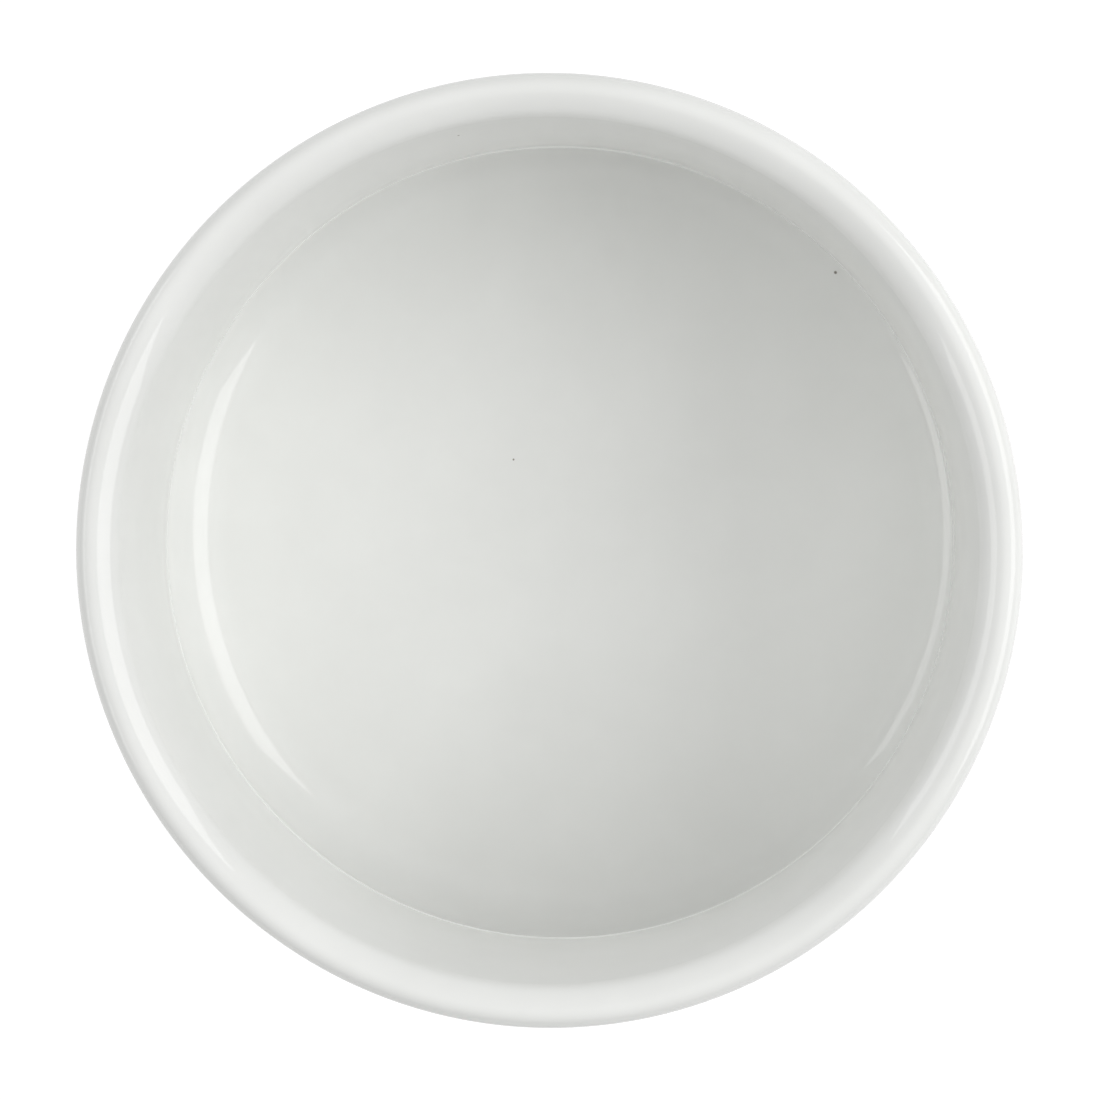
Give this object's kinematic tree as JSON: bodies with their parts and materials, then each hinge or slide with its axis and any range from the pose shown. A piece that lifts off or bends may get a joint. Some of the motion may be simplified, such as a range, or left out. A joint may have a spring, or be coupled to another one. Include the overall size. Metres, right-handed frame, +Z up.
{
  "type": "ramekin",
  "caption": "Round straight-sided porcelain ramekin with a smooth rolled rim, a stepped inside wall, a fluted outside and a bare foot ring.",
  "frame": {"origin": "on the ramekin's axis, in the plane its foot ring stands on", "axes": "+Z up along the axis, out of the open mouth; the cup is the same all round apart from its flutes, one of which is centred on +X"},
  "size_m": [0.09, 0.09, 0.045],
  "materials": {
    "white_glaze": "glossy clear glaze over white porcelain",
    "bare_porcelain": "unglazed, fine matte, slightly worn"
  },
  "bodies": {
    "root": {"glazed_cup": "white_glaze", "foot_ring": "bare_porcelain"}
  },
  "joints": []
}
